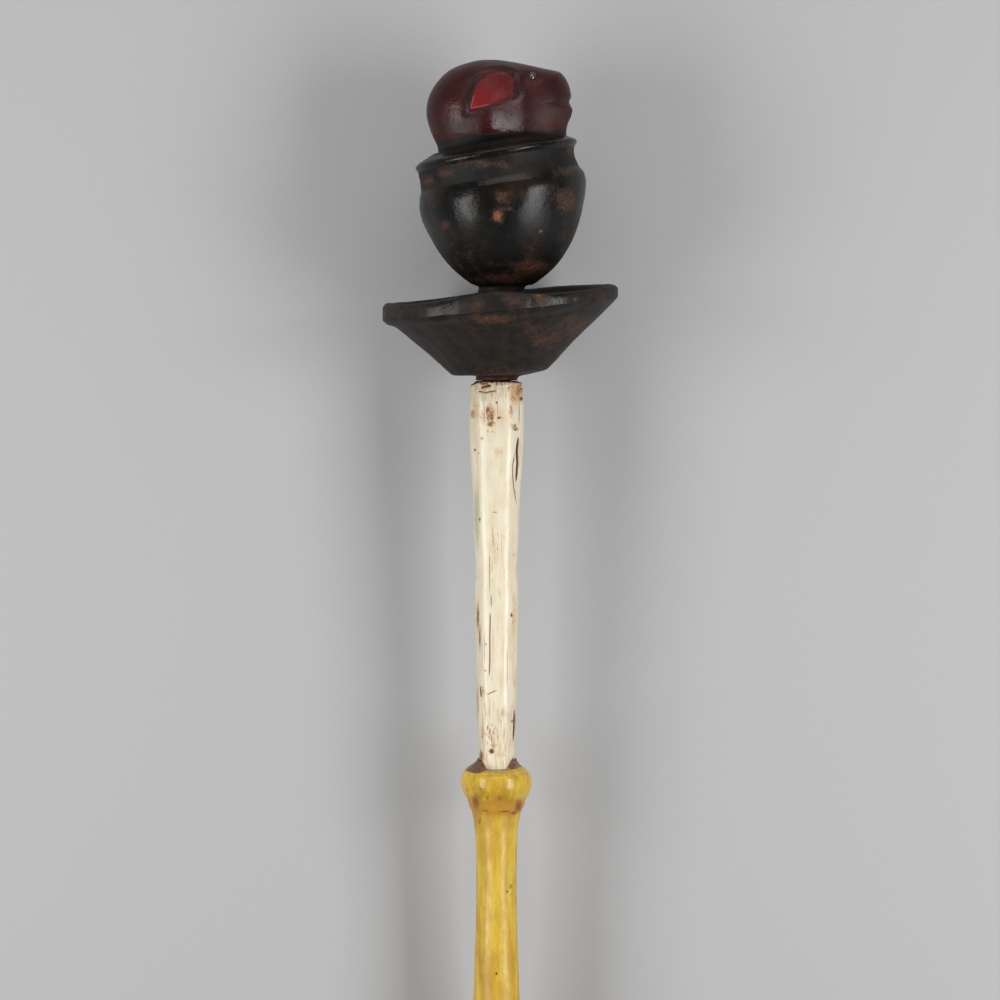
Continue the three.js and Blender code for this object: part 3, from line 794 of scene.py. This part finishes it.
# Soft marks in the white paint: x, y, half width, half height and strength; over 1 they are small pits
WHITE_STAINS = [
    (-5.7, 1272.8, 1.8, 3.4, 1), (-3, 1268.5, 1.8, 4.4, 1), (-4.3, 1270.5, 4.6, 9, 0.75),
    (-3.9, 1263.9, 2.8, 2, 0.95), (1.6, 1267.9, 1.7, 0.9, 1.25), (0.2, 1277.8, 0.8, 1.1, 1.15),
    (4.6, 1278.4, 0.6, 0.6, 1.05), (-9, 1269, 3, 7, 0.6), (9.3, 1272.4, 1.8, 6, 0.75),
    (11.9, 1263, 0.9, 1.1, 1.15), (14.5, 1285.2, 3, 6, 0.8), (16, 1280, 1.7, 1.4, 1.4),
    (12.5, 1260.6, 3, 2, 0.8), (-1.4, 1264.6, 1.2, 1.2, 0.8), (16.1, 1286.4, 1.1, 1.1, 1.3),
    (15.5, 1288.8, 0.9, 0.9, 1.2), (7.6, 1286.4, 3, 3, 0.55), (3, 1289.5, 9, 1.2, 0.7),
    (-8, 1287, 5, 3.4, 0.6), (-15.4, 1270.3, 2.4, 4, 0.7), (-12.9, 1275.3, 5, 6, 0.45),
    (-13.9, 1246.9, 0.9, 1.2, 1.1), (-11.5, 1244.8, 0.9, 0.9, 0.8), (-9.5, 1254.5, 1.3, 1.6, 0.8),
    (1, 1245.7, 5, 4, 0.35), (-5.5, 1259.2, 0.8, 0.7, 1), (-2.6, 1259, 0.7, 0.7, 0.9),
    (-10.9, 1201.9, 0.6, 1.5, 1.4), (-13.4, 1163.3, 0.8, 1, 1.3), (14.2, 1170, 0.8, 2, 1.3),
    (9.7, 1139.7, 0.7, 1.5, 1.4), (11.6, 1178.5, 1.3, 1.2, 0.65), (-12, 1138.5, 1.3, 12, 0.9),
    (-10.8, 1125.5, 1.1, 12, 0.85), (-2.8, 1162.9, 1.4, 3.4, 0.5), (11, 1140.6, 1.4, 26, 0.5),
    (0.8, 1187.9, 1, 20, 0.5), (-1.6, 1184, 0.8, 18, 0.55), (-4.4, 1176, 1, 20, 0.5),
    (-6.9, 1120.8, 0.7, 1.1, 1), (-7.2, 1103.7, 0.7, 1.1, 1), (-3.2, 1051.2, 2.2, 1.9, 1.35),
    # The soft mark at x -3.8, y 1061 under the lifted flakes is partly a stain and partly painted shade
    (-3.8, 1061, 4.4, 8, 0.45), (-9.8, 1047.1, 2, 5, 1), (12.2, 1065.9, 1, 14, 0.9),
    (10.2, 1070.3, 1.2, 1.4, 0.9), (11.6, 1043.7, 1.8, 4, 0.9), (-12.6, 1080, 1.7, 24, 0.7),
    (-2, 1054.7, 3, 3, 0.7), (-9, 1090.6, 3, 6, 0.55), (3, 1048.6, 8, 3, 0.5), (-6, 1186.8, 0.8, 8, 0.45),
    (8.6, 1110.7, 0.8, 8, 0.4), (-7, 1075, 2, 8, 0.55), (5, 1064, 1.2, 7, 0.5), (-9, 1062, 2, 12, 0.6),
]
# Where the white is tinted: warm and tan over 0, grey-green under 0. The grey-green strip down the left edge
# at x -12.9 is partly the paint's own tone and partly painted shade.
WHITE_TINTS = [
    (-8.1, 1281, 3.4, 5.4, -1), (12.4, 1284.3, 6, 8, 1.1), (-14.4, 1280.2, 3, 9, 0.5),
    (-12.9, 1270.4, 5, 5, 0.55), (1.5, 1270.5, 9, 11, 0.45), (-5.9, 1230.7, 4, 22, -0.4),
    (6, 1215.7, 5, 30, 0.35), (-8.5, 1120.7, 3, 30, -0.5), (2, 1150.9, 5, 30, 0.35),
    # Painted shade in part: the strip at x -12.9 darkens the shaft's left edge
    (-12.9, 1205.5, 2, 20, -1), (11.5, 1120.5, 3, 60, 0.5), (0, 1052.7, 12, 10, 0.4),
    (-2, 1186, 4, 18, 0.5), (1, 1246, 5, 5, 0.6),
]


def rim_droop(angle):
    """How far the white shaft's top edge hangs down: most at the left, and a little at the right."""
    aside = np.cos(angle)
    return RIM_DROOP * (ramp(-aside, 0.6, 1) + 0.3 * ramp(aside, 0.6, 1))


def make_upper_shaft():
    top = NECK_END_Y - FIT_GAP
    bottom = COLLAR_TOP_Y + FIT_GAP
    socket_end = NECK_END_Y - TENON_LENGTH - END_GAP
    socket_radius = TENON_RADIUS + FIT_GAP
    plug_end = COLLAR_TOP_Y - PLUG_LENGTH
    outer = np.arange(top - 1.6, bottom + 1.2, -0.84)
    shape = radius_at(outer, [(top, 18), *UPPER_SHAFT_RADII])
    head = [
        (socket_end, 0), (socket_end, socket_radius), (top - 0.2, socket_radius), (top - 0.1, 14),
        (top - 0.2, 16.4), (top - 0.6, 17.4),
    ]
    tail = [
        (bottom + 0.3, shape[-1]), (bottom, shape[-1] - 0.4), (bottom, PLUG_RADIUS),
        (plug_end + 1, PLUG_RADIUS), (plug_end, PLUG_RADIUS - 1), (plug_end, 0),
    ]
    profile = np.vstack([head, np.stack([outer, shape], axis=1), tail])
    layers = [(0.28, (9, 40, 9)), (0.1, (4, 14, 4)), (0.035, 1.8)]
    y, radius, angle, ring, shaped, relief = planed_shaft(
        profile, UPPER_TURNS, UPPER_CORNERS, UPPER_FIT, 60, layers, 21)
    relief -= 0.9 * crack_depths(angle, y)
    ragged = np.maximum(ramp(y, top - 7, top) * noise(ring, (3, 2, 3), 25), 0)
    relief -= 0.45 * ragged
    surface = turned_points(y, shaped, angle)
    relief -= 0.5 * spots(surface, [m for m in WHITE_STAINS if m[4] > 1])
    flaked = hump(surface[..., 0], -3.6, 4.5) * hump(y, 1062, 8) * ramp(surface[..., 2], 0, 5)
    relief += 0.6 * (flaked * noise(ring, (1.6, 2.2, 1.6), 26))
    row = np.arange(len(profile))[:, None]
    outside = (row >= len(head) - 3) & (row < len(head) + len(outer) + 1)
    radius = np.where(outside, shaped + relief, radius)
    # The top edge droops at the sides and is ragged
    near_rim = ramp(y, top - 8, top) * (radius > NECK_RADIUS)
    y = y - near_rim * (rim_droop(angle) + 0.9 * ragged)
    piece = new_piece("upper_shaft_wood", *closed_grid(turned_points(y, radius, angle)))
    points = staff_points(piece)
    x, y, z = points.T
    around = np.arctan2(z, x)
    around = np.where(around < -math.pi / 2, around + 2 * math.pi, around)
    warm = spots(points, [m for m in WHITE_TINTS if m[4] > 0])
    cool = spots(points, [(*m[:4], -m[4]) for m in WHITE_TINTS if m[4] < 0])
    give(
        piece,
        crack=crack_depths(around, y),
        stain=spots(points, WHITE_STAINS),
        tint=warm - cool,
        age=ramp(y, 1256, top) + 0.8 * (1 - ramp(y, 1046, 1150)),
        rim=ramp(y + rim_droop(around), top - 3, top + 0.4),
    )
    return piece


# Soft marks in the yellow paint, as in the white; over 1.2 they are small pits
YELLOW_STAINS = [
    (-13.5, 1018.9, 3.4, 7, 0.95), (-6, 1021.7, 1.8, 2.2, 0.8), (2, 1021.8, 2, 2.2, 0.7),
    (14.5, 1015.6, 3, 6, 1.1), (-7.2, 1012.9, 3.2, 0.8, 1.1), (5.5, 1012.8, 4.4, 0.7, 1.15),
    (11.4, 1011, 3, 1.3, 1.15), (-6, 1010.6, 2, 0.8, 0.8), (7.2, 959.4, 0.9, 0.9, 1.6),
    (9.2, 962.8, 1.4, 2, 0.85), (12.4, 952.7, 0.8, 5, 0.7), (0, 906.4, 0.9, 0.9, 1.6),
    (-10.1, 1028.4, 1.2, 1.2, 0.8), (-14.4, 998.8, 2, 16, 0.7), (14, 989.1, 1, 14, 0.55),
    (-11, 1006, 1.6, 5, 0.8), (-19, 1026, 2, 5, 0.6), (9.5, 957, 1.6, 2, 0.6),
]


def make_lower_shaft():
    socket_floor = COLLAR_TOP_Y - PLUG_LENGTH - END_GAP
    head = [(socket_floor, 0), (socket_floor, SOCKET_RADIUS)]
    head += [(COLLAR_TOP_Y - drop, radius) for drop, radius in COLLAR_TOP_FACE]
    fine = np.arange(COLLAR_TOP_Y - 4, 884, -0.8)
    knop = np.arange(884, 792, -1.6)
    pole = np.arange(792, 3, -5.5)
    outer = np.concatenate([fine, knop, pole])
    shape = radius_at(outer, LOWER_SHAFT_RADII)
    tail = [(1.4, FOOT_RADIUS), (0.4, FOOT_RADIUS - 0.3), (0, FOOT_RADIUS - 1), (0, 0)]
    profile = np.vstack([head, np.stack([outer, shape], axis=1), tail])
    layers = [(0.3, (9, 46, 9)), (0.12, (4, 17, 4)), (0.03, 2)]
    y, radius, angle, ring, shaped, relief = planed_shaft(
        profile, LOWER_TURNS, LOWER_CORNERS, LOWER_FIT, 70, layers, 31)
    relief += ramp(y, 1008, 1014) * 0.35 * noise(ring, 7, 35)
    # A knife cut parts the collar from the waist
    cut = hump(y, 1012.6 + 0.5 * np.sin(3 * angle), 1)
    relief -= 0.5 * cut * ramp(noise(ring, (6, 400, 6), 36), -0.3, 0.4)
    surface = turned_points(y, shaped, angle)
    relief -= 0.35 * spots(surface, [m for m in YELLOW_STAINS if m[4] > 1.2])
    row = np.arange(len(profile))[:, None]
    outside = (row >= len(head) - 3) & (row < len(profile) - 1)
    radius = np.where(outside, shaped + relief, radius)
    # Old filler rises against the white shaft on both sides, and spreads wider to the left
    sides = ramp(np.abs(np.cos(angle)), 0.45, 0.95)
    reach = np.where(np.cos(angle) > 0, 2.6, 4.2)
    rise = ramp(radius, 11, 12.2) * np.exp(-np.maximum(radius - 12.2, 0) / reach)
    rise = rise * (y > COLLAR_TOP_Y - 3.5) * sides
    y = y + rise * (6.6 + 1.4 * noise(ring, 3.5, 37))
    piece = new_piece("lower_shaft_wood", *closed_grid(turned_points(y, radius, angle)))
    points = staff_points(piece)
    x, y, z = points.T
    reach = np.hypot(x, z)
    aside = x / np.maximum(reach, 1)
    joint = 0.9 * hump(reach, 12.6, 0.9) * ramp(y, COLLAR_TOP_Y - 2, COLLAR_TOP_Y - 0.5)
    top_face = ramp(y, COLLAR_TOP_Y - 3.2, COLLAR_TOP_Y - 0.6) * (reach < 23)
    left = ramp(-aside, 0.35, 0.6) * ramp(reach, 23, 19)
    right = ramp(aside, 0.5, 0.75) * ramp(reach, 18, 15)
    give(
        piece,
        stain=np.maximum(spots(points, YELLOW_STAINS), joint),
        bare=top_face * np.maximum(left, right),
        # The collar's top edge is lighter: partly rubbed paint and partly a painted highlight
        rubbed=hump(y, COLLAR_TOP_Y - 1.2, 0.9) * ramp(reach, 17.5, 19.5),
        under=hump(y, 1016, 7) + 0.5 * hump(y, 1002, 9),
        collar=ramp(y, 1017, 1022),
    )
    return piece


# Materials

def linear(*channels):
    """A colour given as 0 to 255 on a screen, in linear light."""
    def one(c):
        c /= 255
        return c / 12.92 if c <= 0.04045 else ((c + 0.055) / 1.055) ** 2.4
    return (*[one(c) for c in channels], 1)


# How strongly the old oil paint mirrors its surroundings
FINIAL_GLOSS = 0.25
SHAFT_GLOSS = 0.42

# The eye's dull metal, in linear light
EYE_METAL = (0.16, 0.125, 0.115, 1)


class Paint:
    """A material whose nodes are made by short calls; a value is a number, a colour or a node's output."""

    def __init__(self, name):
        self.material = bpy.data.materials.new(name)
        self.material.use_nodes = True
        self.tree = self.material.node_tree
        self.shader = self.tree.nodes["Principled BSDF"]
        self.place = self.tree.nodes.new("ShaderNodeTexCoord").outputs["Object"]

    def feed(self, node, inputs):
        """Gives a node's inputs their values; a colour may be three numbers from 0 to 255."""
        for name, value in inputs.items():
            socket = node.inputs[name]
            if isinstance(value, bpy.types.NodeSocket):
                self.tree.links.new(value, socket)
            elif socket.type == "RGBA" and len(value) == 3:
                socket.default_value = linear(*value)
            else:
                socket.default_value = value

    def node(self, kind, inputs, **settings):
        made = self.tree.nodes.new("ShaderNode" + kind)
        for name, value in settings.items():
            setattr(made, name, value)
        self.feed(made, inputs)
        return made

    def math(self, operation, a, b):
        return self.node("Math", {0: a, 1: b}, operation=operation).outputs[0]

    def step(self, value, low, high, start=0, end=1):
        inputs = {"Value": value, "From Min": low, "From Max": high, "To Min": start, "To Max": end}
        return self.node("MapRange", inputs, interpolation_type="SMOOTHSTEP").outputs["Result"]

    def noise(self, size, detail, across=1, along=1, rough=0.55, shift=0):
        """Noise around 0.5, its features of that size in millimetres, longer where across or along is low."""
        inputs = {"Vector": self.place, "Scale": (across, along, 1), "Location": (shift, shift, shift)}
        place = self.node("Mapping", inputs).outputs[0]
        inputs = {"Vector": place, "Scale": 1 / (size * MM), "Detail": detail, "Roughness": rough}
        return self.node("TexNoise", inputs).outputs["Fac"]

    def around(self, noise, swing):
        """Noise as a number around 0."""
        return self.math("MULTIPLY", self.math("SUBTRACT", noise, 0.5), swing)

    def read(self, name):
        """What the mesh stores under a name."""
        return self.node("Attribute", {}, attribute_name=name).outputs["Fac"]

    def frayed(self, name, *noises):
        """The same, made ragged by noises; each is given with its swing."""
        value = self.read(name)
        for noise, swing in zip(noises[::2], noises[1::2]):
            value = self.math("ADD", value, self.around(noise, swing))
        return value

    def mix(self, share, a, b, kind="RGBA"):
        """Between two colours, or two numbers for the kind FLOAT."""
        return self.node("Mix", {"Factor": share, "A": a, "B": b}, data_type=kind).outputs["Result"]

    def blend(self, share, a, b):
        return self.mix(share, a, b, "FLOAT")

    def coated(self, colour, coats):
        """A colour under coats; a coat is a value, where it starts and is full, its paint and how strong."""
        for value, low, high, paint, most in coats:
            colour = self.mix(self.step(value, low, high, 0, most), colour, paint)
        return colour

    def bump(self, height, depth, under=None):
        """Relief of a depth in millimetres."""
        inputs = {"Strength": 1, "Distance": depth * MM, "Height": height}
        if under is not None:
            inputs["Normal"] = under
        return self.node("Bump", inputs).outputs["Normal"]

    def done(self, colour, roughness, normal, specular, metallic=0):
        self.feed(self.shader, {
            "Base Color": colour, "Roughness": roughness, "Normal": normal,
            "Specular IOR Level": specular, "Metallic": metallic,
        })
        return self.material


def finial_paint():
    p = Paint("finial_paint")
    broad = p.noise(26, 4)
    patchy = p.noise(7, 5, rough=0.65, shift=0.3)
    fine = p.noise(2.0, 4, rough=0.7)
    peel = p.noise(1.7, 2, shift=0.6)
    strokes = p.noise(1.6, 3, across=0.45, shift=0.2)
    dish = p.mix(p.step(patchy, 0.4, 0.65), (23, 20, 17), (42, 34, 27))
    black = p.coated((12, 12, 11), [
        (patchy, 0.45, 0.75, (31, 23, 17), 1),
        (broad, 0.48, 0.7, (42, 29, 20), 0.7),
        (p.read("neck_paint"), -58, -52, dish, 0.8),
    ])
    brown = p.mix(p.step(fine, 0.3, 0.7), (42, 29, 21), (84, 57, 41))
    # Brown where the paint has worn; on the dish's right side this is partly a painted sheen
    bare = p.step(p.frayed("worn", patchy, 1.3, broad, 0.8, fine, 0.5), 0.3, 1.05)
    orange = p.frayed("orange", fine, 1.2)
    colour = p.coated(p.mix(bare, black, brown), [(orange, 0.42, 1, (132, 82, 54), 1)])
    maroon = p.coated((42, 15, 13), [
        (broad, 0.35, 0.65, (64, 17, 17), 1),
        (patchy, 0.45, 0.72, (42, 27, 20), 0.75),
        (p.frayed("jaw", patchy, 1.2), 0.4, 1.1, (62, 40, 30), 0.7),
        (fine, 0.55, 0.8, (80, 44, 38), 0.35),
    ])
    on_head = p.step(p.frayed("head_paint", patchy, 3), -0.6, 0.6)
    colour = p.mix(on_head, colour, maroon)
    red = p.coated(p.mix(p.read("ear_light"), (84, 12, 14), (118, 18, 22)), [
        (patchy, 0.45, 0.75, (66, 12, 12), 0.35),
        (strokes, 0.5, 0.75, (142, 34, 38), 0.3),
    ])
    on_ear = p.step(p.frayed("ear_paint", fine, 0.8), -0.2, 0.5)
    colour = p.mix(on_ear, colour, red)
    # Painted shade: the hollows round the ear, in the mouth and round the eye are darkened in the colour
    dirt = p.step(p.frayed("ear_dark", fine, 0.6), 0.25, 0.9, 0, 0.8)
    colour = p.mix(p.math("MULTIPLY", dirt, p.math("SUBTRACT", 1, on_ear)), colour, (30, 21, 15))
    band = p.mix(p.step(fine, 0.4, 0.65), (38, 20, 16), (78, 34, 26))
    colour = p.coated(colour, [
        # Painted highlight along the ear's lower edge, in pale pink
        (p.frayed("ear_worn", fine, 1.2), 0.55, 1, (180, 84, 76), 0.5),
        (p.frayed("neck_paint", fine, 1), -0.3, 0.3, band, 1),
    ])
    eye = p.step(p.read("eye"), 0, 0.4)
    colour = p.mix(eye, colour, EYE_METAL)
    gloss = p.blend(on_head, p.step(patchy, 0.3, 0.7, 0.17, 0.25), p.step(patchy, 0.3, 0.7, 0.09, 0.17))
    roughness = p.blend(bare, p.blend(p.read("dull"), gloss, 0.6), 0.6)
    roughness = p.blend(on_ear, roughness, 0.5)
    roughness = p.blend(eye, roughness, 0.1)
    metallic = p.math("MULTIPLY", eye, 0.9)
    carved = p.blend(on_head, 0.8, 1.3)
    normal = p.bump(p.math("MULTIPLY", strokes, carved), 0.1, p.bump(fine, 0.07))
    normal = p.bump(p.math("MULTIPLY", peel, carved), 0.1, normal)
    return p.done(colour, roughness, normal, FINIAL_GLOSS, metallic)


def white_paint():
    p = Paint("white_paint")
    patchy = p.noise(8, 5, along=0.35, rough=0.6)
    fine = p.noise(1.2, 4, rough=0.7)
    dots = p.noise(1.0, 2, shift=0.8)
    streaks = p.noise(3.2, 4, along=0.05)
    hatch = p.noise(1.4, 3, along=0.12, shift=0.4)
    broad = p.noise(40, 3, shift=0.7)
    tint = p.frayed("tint", patchy, 1, fine, 0.5)
    age = p.frayed("age", hatch, 2.4)
    specks = p.math("ADD", p.math("MULTIPLY", p.read("age"), 0.5), p.around(dots, 1.8))
    dirt = p.frayed("stain", fine, 1.6, dots, 0.8)
    crack = p.frayed("crack", fine, 0.5)
    colour = p.coated((234, 224, 199), [
        (patchy, 0.35, 0.7, (223, 211, 182), 1),
        (streaks, 0.52, 0.72, (214, 186, 142), 0.6),
        (hatch, 0.6, 0.72, (190, 158, 112), 0.35),
        (broad, 0.5, 0.7, (216, 212, 186), 0.5),
        (tint, 0.2, 0.9, (214, 168, 114), 0.85),
        (tint, -0.2, -0.9, (174, 180, 156), 0.8),
        (age, 0.5, 1.5, (172, 138, 98), 0.6),
        (specks, 0.65, 0.85, (124, 86, 54), 0.75),
        (p.frayed("stain", patchy, 0.9), 0.25, 0.8, (196, 150, 104), 0.65),
        (dirt, 0.45, 0.9, (132, 86, 50), 0.9),
        (dirt, 0.9, 1.3, (56, 34, 22), 1),
        # Cracks are brown to dark brown; the dashes by the lifted flakes are painted shade
        (crack, 0.12, 0.45, (108, 70, 42), 0.9),
        (crack, 0.45, 0.8, (54, 36, 26), 1),
        (p.frayed("rim", fine, 1.6), 0.45, 0.85, (88, 46, 34), 0.95),
    ])
    roughness = p.blend(p.step(age, 0.5, 1.2), p.step(patchy, 0.3, 0.7, 0.2, 0.3), 0.6)
    roughness = p.blend(p.step(crack, 0.12, 0.4), roughness, 0.8)
    normal = p.bump(fine, 0.04, p.bump(streaks, 0.12))
    return p.done(colour, roughness, normal, SHAFT_GLOSS)


def yellow_paint():
    p = Paint("yellow_paint")
    patchy = p.noise(9, 5, along=0.45, rough=0.6)
    fine = p.noise(1.2, 4, rough=0.7)
    streaks = p.noise(3.6, 4, along=0.1)
    clouds = p.noise(14, 4, along=0.5, rough=0.6, shift=0.5)
    hatch = p.noise(1.6, 3, along=0.25, shift=0.4)
    dirt = p.frayed("stain", fine, 1.3, patchy, 0.6)
    filler = p.mix(p.step(fine, 0.35, 0.65), (58, 38, 32), (144, 110, 84))
    filler = p.coated(filler, [(patchy, 0.45, 0.65, (104, 74, 54), 0.6)])
    colour = p.coated((216, 182, 62), [
        (patchy, 0.35, 0.7, (193, 152, 46), 1),
        (streaks, 0.48, 0.72, (190, 142, 44), 0.6),
        (streaks, 0.5, 0.3, (229, 203, 100), 0.4),
        (clouds, 0.5, 0.7, (180, 128, 40), 0.65),
        (hatch, 0.55, 0.72, (168, 120, 38), 0.4),
        (p.frayed("collar", clouds, 3), 1, 1.6, (164, 136, 36), 0.6),
        (p.frayed("under", patchy, 1), 0.3, 0.9, (184, 130, 44), 0.75),
        (dirt, 0.35, 0.85, (138, 84, 40), 0.8),
        (dirt, 0.9, 1.3, (72, 44, 30), 1),
        # Lighter top edge of the collar: partly rubbed paint, partly a painted highlight
        (p.frayed("rubbed", fine, 1.2), 0.55, 0.95, (230, 208, 130), 0.3),
        (p.frayed("bare", fine, 0.9, patchy, 0.6), 0.35, 0.65, filler, 1),
    ])
    roughness = p.blend(p.read("collar"), p.step(patchy, 0.3, 0.7, 0.27, 0.42), 0.2)
    normal = p.bump(fine, 0.05, p.bump(streaks, 0.12))
    return p.done(colour, roughness, normal, SHAFT_GLOSS)


def dress(piece, node, material):
    piece.data.materials.clear()
    piece.data.materials.append(material)
    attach(piece, "root")
    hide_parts(node)


# The camera looks straight down on the part of the staff that the photograph shows
PHOTO_SIDE = 0.65
CAMERA_DISTANCE = 2.5
CAMERA_X = 2.275
CAMERA_Y = 1214
SENSOR = 36

FLOOR_HALF_SIDE = 5
FLOOR_GREY = (179, 179, 180)

# Soft boxes that look at the carving: name, turn from straight above to the side, tilt along the staff,
# distance, width round the staff, length along it and radiance
SOFT_BOXES = [
    ("left_box", -51, -12.5, 1.6, 0.62, 1.25, 6.4),
    ("right_box", 47, -12.5, 1.6, 0.58, 1.25, 7.7),
    ("top_box", 0, 54, 2.2, 2.2, 1.4, 1.8),
]
LIGHT_AIM_Y = 1330
SKY_STRENGTH = 0.21


def add_camera():
    data = bpy.data.cameras.new("camera")
    data.sensor_width = SENSOR
    data.lens = SENSOR * CAMERA_DISTANCE / PHOTO_SIDE
    camera = placed("camera", data)
    aim = STAFF @ Vector((CAMERA_X, CAMERA_Y, 0))
    camera.location = (aim.x, aim.y, aim.z + CAMERA_DISTANCE)
    bpy.context.scene.camera = camera


def add_floor():
    mesh = bpy.data.meshes.new("floor")
    side = FLOOR_HALF_SIDE
    corners = [(-side, -side, 0), (side, -side, 0), (side, side, 0), (-side, side, 0)]
    mesh.from_pydata(corners, [], [(0, 1, 2, 3)])
    floor = placed("floor", mesh)
    p = Paint("floor_paper")
    mesh.materials.append(p.done(FLOOR_GREY, 0.85, p.bump(p.noise(2, 3), 0.05), 0.2))


def add_light(name, turn, tilt, distance, width, length, radiance):
    data = bpy.data.lights.new(name, "AREA")
    data.shape = "RECTANGLE"
    data.size = width
    data.size_y = length
    data.energy = radiance * math.pi * width * length
    light = placed(name, data)
    a, b = math.radians(turn), math.radians(tilt)
    away = Vector((math.sin(a) * math.cos(b), math.sin(b), math.cos(a) * math.cos(b)))
    light.location = STAFF @ Vector((0, LIGHT_AIM_Y, 0)) + away * distance
    across = Vector((0, 1, 0)).cross(away).normalized()
    light.rotation_euler = Matrix((across, away.cross(across), away)).transposed().to_euler()


def add_lights():
    world = bpy.data.worlds.new("studio")
    bpy.context.scene.world = world
    world.use_nodes = True
    background = world.node_tree.nodes["Background"]
    background.inputs["Color"].default_value = (1, 1, 1, 1)
    background.inputs["Strength"].default_value = SKY_STRENGTH
    for box in SOFT_BOXES:
        add_light(*box)


dress(make_finial(), "finial", finial_paint())
dress(make_upper_shaft(), "upper_shaft", white_paint())
dress(make_lower_shaft(), "lower_shaft", yellow_paint())
add_floor()
add_lights()
add_camera()
bpy.context.scene.view_settings.view_transform = "Standard"
